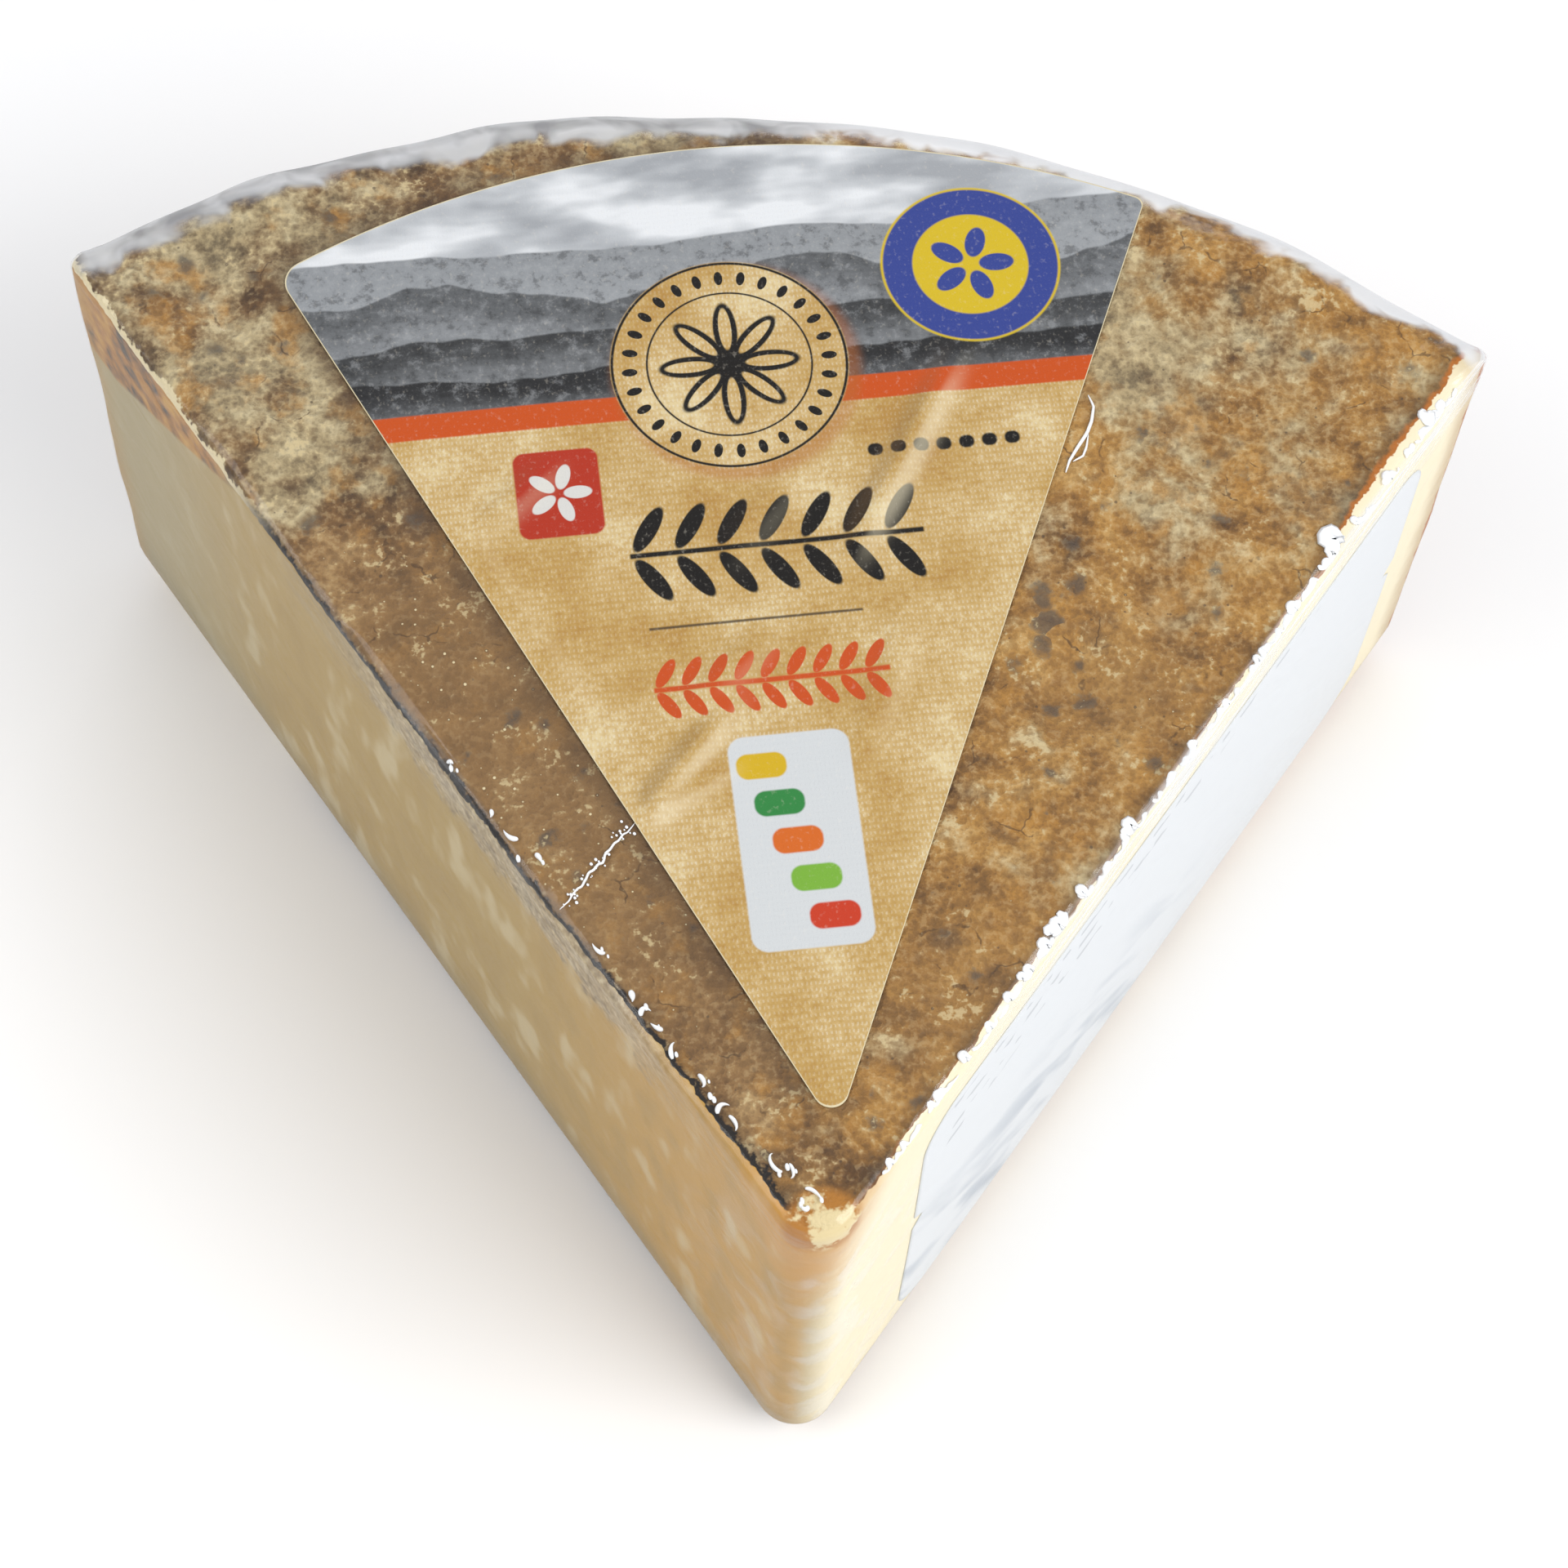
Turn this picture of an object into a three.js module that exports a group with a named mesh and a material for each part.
// A wedge of pressed, natural-rind mountain cheese, wrapped tightly in clear film.
// A sector-shaped paper label lies on top, and a plain rectangular one on the right cut face.
// Millimetres, +Z up. The tip of the wedge points along -Y and the rind of the rim faces +Y.

import * as THREE from 'three';

// The whole wheel that the wedge was cut from
const RIM_RADIUS = 99.0;
const THICKNESS = 52.0;
const RIM_ROUNDING = 4.5;
const RIM_FOOT_ROUNDING = 4.2;

// The cut. Its point missed the middle of the wheel by a few millimetres
const WEDGE_ANGLE = 70.3;
const WHEEL_CENTRE = { x: -8.1, y: 1.1 };
const TIP_RADIUS = 3.4;
const LEFT_CORNER_RADIUS = 2.6;
const RIGHT_CORNER_RADIUS = 1.4;
const CUT_EDGE_ROUNDING = 1.2;
const CUT_FOOT_ROUNDING = 4.4;
const CUT_FACE_CROWN = 0.5;

// The low bumps of the rind, pressed smooth by the film
const RIND_RELIEF = 0.4;
const RIND_WAVELENGTHS = { shortest: 8.0, longest: 19.0 };
const RIND_WAVES = 12;
const RIND_SEED = 2058;
const RELIEF_FADE_AT_LABEL = 6.0;

// The paper labels, which lie clear of the wrapped cheese by a thin gap
const PAPER_THICKNESS = 0.2;
const PAPER_GAP = 0.3;
const TOP_LABEL = {
  tip: { x: 1.5, y: 10.5 },
  turn: 6.8,
  halfAngle: 24.6,
  arcRadius: 75.9,
  arcCentre: { x: -0.2, y: 8.9 },
  tipRadius: 1.3,
  cornerRadius: 2.0,
};
const SIDE_LABEL = {
  start: 14.5,
  end: 86.0,
  foot: 4.5,
  head: 47.0,
  cornerRadius: 4.5,
  notchHeight: 27.8,
  notchReach: 1.4,
  notchDepth: 1.3,
};

// How finely the surfaces are divided
const TIP_STEPS = 6;
const FACE_STEPS = 22;
const CORNER_STEPS = 4;
const RIM_STEPS = 40;
const ROUNDING_STEPS = 3;
const WALL_STEPS = 8;
const TOP_STEPS = 12;
const FOOT_STEPS = 3;

const { degToRad, lerp, smoothstep } = THREE.MathUtils;

// Points of an arc about a centre, each with its outward direction. The last point is left
// to the stretch that follows.
function arc(centre, radius, from, to, steps, note) {
  return Array.from({ length: steps }, (_, i) => {
    const angle = lerp(from, to, i / steps);
    const out = new THREE.Vector2(Math.cos(angle), Math.sin(angle));
    const place = centre.clone().addScaledVector(out, radius);
    return { place, out, along: 0, ...note(i / steps) };
  });
}

// Points of a straight stretch, each with its outward direction and its share of the way
function straight(from, to, out, steps) {
  return Array.from({ length: steps }, (_, i) => {
    const along = i / steps;
    return { place: from.clone().lerp(to, along), out, along, rim: 0 };
  });
}

// A closed sector outline, anticlockwise from its tip: two straight sides that meet at the
// origin, joined by an arc, with the tip and both corners rounded. The arc moves in by
// arcInset and the sides by sideInset. rim is 1 on the arc, 0 on the sides, and runs between
// them round each corner.
function roundedSector(sizes, arcInset, sideInset) {
  const half = degToRad(sizes.halfAngle);
  const arcCentre = new THREE.Vector2(sizes.arcCentre.x, sizes.arcCentre.y);
  const arcRadius = sizes.arcRadius - arcInset;
  const apex = new THREE.Vector2(0, sideInset / Math.sin(half));
  const outward = (side) => new THREE.Vector2(side * Math.cos(half), -Math.sin(half));
  const along = (side) => new THREE.Vector2(side * Math.sin(half), Math.cos(half));

  // A corner's arc touches its side and the big arc, both from within
  const corner = (side, radius) => {
    const start = apex.clone().addScaledVector(outward(side), -radius);
    const toStart = start.clone().sub(arcCentre);
    const halfB = toStart.dot(along(side));
    const gap = toStart.lengthSq() - (arcRadius - radius) ** 2;
    const run = -halfB + Math.sqrt(halfB * halfB - gap);
    const centre = start.addScaledVector(along(side), run);
    const bearing = centre.clone().sub(arcCentre).angle();
    const touch = centre.clone().addScaledVector(outward(side), radius);
    return { centre, radius, bearing, touch };
  };
  const right = corner(1, sizes.rightCorner);
  const left = corner(-1, sizes.leftCorner);
  const tipCentre = apex.clone().add(new THREE.Vector2(0, sizes.tipRadius / Math.sin(half)));
  const tipTouch = (side) => tipCentre.clone().addScaledVector(outward(side), sizes.tipRadius);

  const steps = sizes.steps;
  const onSides = () => ({ rim: 0 });
  const onArc = () => ({ rim: 1 });
  const ontoArc = (share) => ({ rim: share });
  const offArc = (share) => ({ rim: 1 - share });
  return [
    ...arc(tipCentre, sizes.tipRadius, Math.PI + half, 2 * Math.PI - half, steps.tip, onSides),
    ...straight(tipTouch(1), right.touch, outward(1), steps.side),
    ...arc(right.centre, right.radius, -half, right.bearing, steps.corner, ontoArc),
    ...arc(arcCentre, arcRadius, right.bearing, left.bearing, steps.arc, onArc),
    ...arc(left.centre, left.radius, left.bearing, Math.PI + half, steps.corner, offArc),
    ...straight(left.touch, tipTouch(-1), outward(-1), steps.side),
  ];
}

// A repeatable series of random numbers between 0 and 1
function seededRandom(seed) {
  let state = seed;
  return () => {
    state = (state * 1664525 + 1013904223) % 4294967296;
    return state / 4294967296;
  };
}

// The rind's bumps: a sum of plane waves that run in seeded directions
function makeRelief() {
  const random = seededRandom(RIND_SEED);
  const waves = Array.from({ length: RIND_WAVES }, () => {
    const spread = () => 2 * random() - 1;
    const direction = new THREE.Vector3(spread(), spread(), spread()).normalize();
    const length = lerp(RIND_WAVELENGTHS.shortest, RIND_WAVELENGTHS.longest, random());
    return { turns: direction.multiplyScalar((2 * Math.PI) / length), phase: 2 * Math.PI * random() };
  });
  return (place) => {
    const total = waves.reduce((sum, wave) => sum + Math.sin(wave.turns.dot(place) + wave.phase), 0);
    return (RIND_RELIEF * total) / Math.sqrt(RIND_WAVES);
  };
}
const relief = makeRelief();

const wedgeSizes = {
  halfAngle: WEDGE_ANGLE / 2,
  arcRadius: RIM_RADIUS,
  arcCentre: WHEEL_CENTRE,
  tipRadius: TIP_RADIUS,
  leftCorner: LEFT_CORNER_RADIUS,
  rightCorner: RIGHT_CORNER_RADIUS,
  steps: { tip: TIP_STEPS, side: FACE_STEPS, corner: CORNER_STEPS, arc: RIM_STEPS },
};
const labelSizes = {
  ...TOP_LABEL,
  leftCorner: TOP_LABEL.cornerRadius,
  rightCorner: TOP_LABEL.cornerRadius,
  steps: { tip: TIP_STEPS, side: 1, corner: CORNER_STEPS, arc: RIM_STEPS },
};

// How far the rind's bumps have grown at a place on top: none under the label, where the
// paper presses flat, and all of them a few millimetres outside its edge
function reliefShare(x, y) {
  const turn = degToRad(TOP_LABEL.turn);
  const half = degToRad(TOP_LABEL.halfAngle);
  const seen = new THREE.Vector2(x - TOP_LABEL.tip.x, y - TOP_LABEL.tip.y);
  seen.rotateAround(new THREE.Vector2(), -turn);
  const pastSide = Math.abs(seen.x) * Math.cos(half) - seen.y * Math.sin(half);
  const fromCentre = Math.hypot(seen.x - TOP_LABEL.arcCentre.x, seen.y - TOP_LABEL.arcCentre.y);
  const pastArc = fromCentre - TOP_LABEL.arcRadius;
  return smoothstep(Math.max(pastSide, pastArc), 0, RELIEF_FADE_AT_LABEL);
}

// How far a cut face stands proud at a share of its length and a share of its height
function crown(along, up) {
  return CUT_FACE_CROWN * Math.sin(Math.PI * along) * Math.sin(Math.PI * up);
}

// One ring of the wall, at a share of the height between the two rounded edges
function wallRing(share) {
  return roundedSector(wedgeSizes, 0, 0).map(({ place, out, along, rim }) => {
    const low = lerp(CUT_FOOT_ROUNDING, RIM_FOOT_ROUNDING, rim);
    const high = THICKNESS - lerp(CUT_EDGE_ROUNDING, RIM_ROUNDING, rim);
    const point = new THREE.Vector3(place.x, place.y, lerp(low, high, share));
    const proud = crown(along, share) + rim * smoothstep(share, 0, 1 / WALL_STEPS) * relief(point);
    return point.add(new THREE.Vector3(out.x, out.y, 0).multiplyScalar(proud));
  });
}

// One ring of the rounded top edge, at an angle from 0 at the wall to a quarter turn on top
function topEdgeRing(angle) {
  const inset = 1 - Math.cos(angle);
  const drop = 1 - Math.sin(angle);
  const outline = roundedSector(wedgeSizes, RIM_ROUNDING * inset, CUT_EDGE_ROUNDING * inset);
  return outline.map(({ place, out, rim }) => {
    const height = THICKNESS - drop * lerp(CUT_EDGE_ROUNDING, RIM_ROUNDING, rim);
    const point = new THREE.Vector3(place.x, place.y, height);
    const flatness = Math.sin(angle);
    const share = Math.max(rim * (1 - flatness), flatness * reliefShare(place.x, place.y));
    const away = new THREE.Vector3(out.x * Math.cos(angle), out.y * Math.cos(angle), flatness);
    return point.add(away.multiplyScalar(share * relief(point)));
  });
}

// One ring of the rounded foot, at an angle from 0 on the underside to a quarter turn at
// the wall. The underside is flat, so nothing is added to it.
function footRing(angle) {
  const inset = 1 - Math.sin(angle);
  const outline = roundedSector(wedgeSizes, RIM_FOOT_ROUNDING * inset, CUT_FOOT_ROUNDING * inset);
  return outline.map(({ place, rim }) => {
    const height = (1 - Math.cos(angle)) * lerp(CUT_FOOT_ROUNDING, RIM_FOOT_ROUNDING, rim);
    return new THREE.Vector3(place.x, place.y, height);
  });
}

// One ring of a flat end, between its middle at 0 and its edge ring at 1
function endRing(middle, edge, share, addRelief) {
  return edge.map((corner) => {
    const point = middle.clone().lerp(new THREE.Vector3(corner.x, corner.y, middle.z), share);
    const raise = addRelief ? reliefShare(point.x, point.y) * relief(point) : 0;
    return point.setZ(point.z + raise);
  });
}

// A closed solid from a first pole, rings that all have as many points, and a last pole
function ringedSolid(firstPole, rings, lastPole) {
  const count = rings[0].length;
  const points = [firstPole, ...rings.flat(), lastPole];
  const last = points.length - 1;
  const faces = [];
  for (let i = 0; i < count; i += 1) {
    const next = (i + 1) % count;
    faces.push(0, 1 + next, 1 + i);
    for (let ring = 0; ring < rings.length - 1; ring += 1) {
      const here = 1 + ring * count;
      const above = here + count;
      faces.push(here + i, here + next, above + next);
      faces.push(here + i, above + next, above + i);
    }
    const top = last - count;
    faces.push(top + i, top + next, last);
  }
  const geometry = new THREE.BufferGeometry().setFromPoints(points);
  geometry.setIndex(faces);
  geometry.computeVertexNormals();
  return geometry;
}

// The cheese in its film, as one solid
function wrappedCheese() {
  const quarter = Math.PI / 2;
  const shares = (steps) => Array.from({ length: steps }, (_, i) => (i + 1) / steps);
  const feet = [0, ...shares(ROUNDING_STEPS)].map((share) => footRing(share * quarter));
  const walls = shares(WALL_STEPS - 1).map((share) => wallRing((share * (WALL_STEPS - 1)) / WALL_STEPS));
  const edges = [0, ...shares(ROUNDING_STEPS)].map((share) => topEdgeRing(share * quarter));

  const middleOf = (ring, height) => {
    const sum = ring.reduce((total, point) => total.add(point), new THREE.Vector3());
    return sum.divideScalar(ring.length).setZ(height);
  };
  const footMiddle = middleOf(feet[0], 0);
  const topMiddle = middleOf(edges.at(-1), THICKNESS);
  const inner = (steps) => shares(steps).slice(0, -1);
  const under = inner(FOOT_STEPS).map((share) => endRing(footMiddle, feet[0], share, false));
  const over = inner(TOP_STEPS).map((share) => endRing(topMiddle, edges.at(-1), share, true));
  return ringedSolid(footMiddle, [...under, ...feet, ...walls, ...edges, ...over.reverse()], topMiddle);
}

// The sector-shaped paper on top, flat and held off the cheese by the gap
function topLabel() {
  const outline = roundedSector(labelSizes, 0, 0).map(({ place }) => place);
  return new THREE.ExtrudeGeometry(new THREE.Shape(outline), {
    depth: PAPER_THICKNESS,
    bevelEnabled: false,
  });
}

// A place on the right cut face, a distance along it from the apex and a height up, and
// then a distance out from it
function onRightFace(along, up, off) {
  const half = degToRad(WEDGE_ANGLE / 2);
  const tipTouch = TIP_RADIUS / Math.tan(half);
  const length = RIM_RADIUS - tipTouch;
  const high = THICKNESS - CUT_EDGE_ROUNDING - CUT_FOOT_ROUNDING;
  const proud = crown((along - tipTouch) / length, (up - CUT_FOOT_ROUNDING) / high) + off;
  return new THREE.Vector3(
    along * Math.sin(half) + proud * Math.cos(half),
    along * Math.cos(half) - proud * Math.sin(half),
    up,
  );
}

// How far the side label's two ends draw in at a height: round its corners, and at the
// small notch where its two halves meet
function endInset(up) {
  const { foot, head, cornerRadius, notchHeight, notchReach, notchDepth } = SIDE_LABEL;
  const toEdge = Math.min(up - foot, head - up, cornerRadius);
  const rounding = cornerRadius - Math.sqrt(cornerRadius ** 2 - (cornerRadius - toEdge) ** 2);
  const notch = notchDepth * Math.max(0, 1 - Math.abs(up - notchHeight) / notchReach);
  return rounding + notch;
}

// The paper on the right cut face: two sheets of points and the wall round them
function sideLabel() {
  const { foot, head, cornerRadius, notchHeight, notchReach, start, end } = SIDE_LABEL;
  const quarterTurns = [0, 1, 2, 3].map((i) => cornerRadius * (1 - Math.cos((i * Math.PI) / 6)));
  const spaced = [0.25, 0.5, 0.75];
  const belowNotch = spaced.map((share) => lerp(foot + cornerRadius, notchHeight - notchReach, share));
  const aboveNotch = spaced.map((share) => lerp(notchHeight + notchReach, head - cornerRadius, share));
  const notch = [-1, 0, 1].map((side) => notchHeight + side * notchReach);
  const heights = [
    ...quarterTurns.map((rise) => foot + rise),
    ...belowNotch,
    ...notch,
    ...aboveNotch,
    ...quarterTurns.map((rise) => head - rise).reverse(),
  ];
  const columns = FACE_STEPS;
  const sheet = (off) => heights.map((up) => Array.from({ length: columns + 1 }, (_, i) => {
    const inset = endInset(up);
    return onRightFace(lerp(start + inset, end - inset, i / columns), up, off);
  }));
  const front = sheet(PAPER_GAP + PAPER_THICKNESS);
  const back = sheet(PAPER_GAP);
  const points = [...front.flat(), ...back.flat()];
  const wide = columns + 1;
  const rows = heights.length;
  const faces = [];
  const quad = (a, b, c, d) => faces.push(a, b, c, a, c, d);
  const at = (row, column, side) => side * rows * wide + row * wide + column;
  for (let row = 0; row < rows - 1; row += 1) {
    for (let column = 0; column < columns; column += 1) {
      quad(at(row, column, 0), at(row, column + 1, 0), at(row + 1, column + 1, 0), at(row + 1, column, 0));
      quad(at(row, column, 1), at(row + 1, column, 1), at(row + 1, column + 1, 1), at(row, column + 1, 1));
    }
    quad(at(row, columns, 0), at(row, columns, 1), at(row + 1, columns, 1), at(row + 1, columns, 0));
    quad(at(row, 0, 1), at(row, 0, 0), at(row + 1, 0, 0), at(row + 1, 0, 1));
  }
  for (let column = 0; column < columns; column += 1) {
    quad(at(0, column, 1), at(0, column + 1, 1), at(0, column + 1, 0), at(0, column, 0));
    const top = rows - 1;
    quad(at(top, column, 0), at(top, column + 1, 0), at(top, column + 1, 1), at(top, column, 1));
  }
  const geometry = new THREE.BufferGeometry().setFromPoints(points);
  geometry.setIndex(faces);
  geometry.computeVertexNormals();
  return geometry;
}

function named(name, geometry, material) {
  const mesh = new THREE.Mesh(geometry, new THREE.MeshStandardMaterial(material));
  mesh.name = name;
  return mesh;
}

const cheese = named('wrapped_cheese', wrappedCheese(), {
  color: 0xa98a58,
  roughness: 0.35,
  metalness: 0,
});
const paperOnTop = named('top_label', topLabel(), {
  color: 0xd9bd88,
  roughness: 0.6,
  metalness: 0,
});
paperOnTop.rotation.z = degToRad(TOP_LABEL.turn);
paperOnTop.position.set(TOP_LABEL.tip.x, TOP_LABEL.tip.y, THICKNESS + PAPER_GAP);
const paperOnSide = named('side_label', sideLabel(), {
  color: 0xf2f3f5,
  roughness: 0.5,
  metalness: 0,
});

// The origin lies on the ground under the middle of the object's box
const object = new THREE.Group();
object.add(cheese, paperOnTop, paperOnSide);
const box = new THREE.Box3().setFromObject(object, true);
const middle = box.getCenter(new THREE.Vector3());
object.position.set(-middle.x, -middle.y, -box.min.z);

export default object;
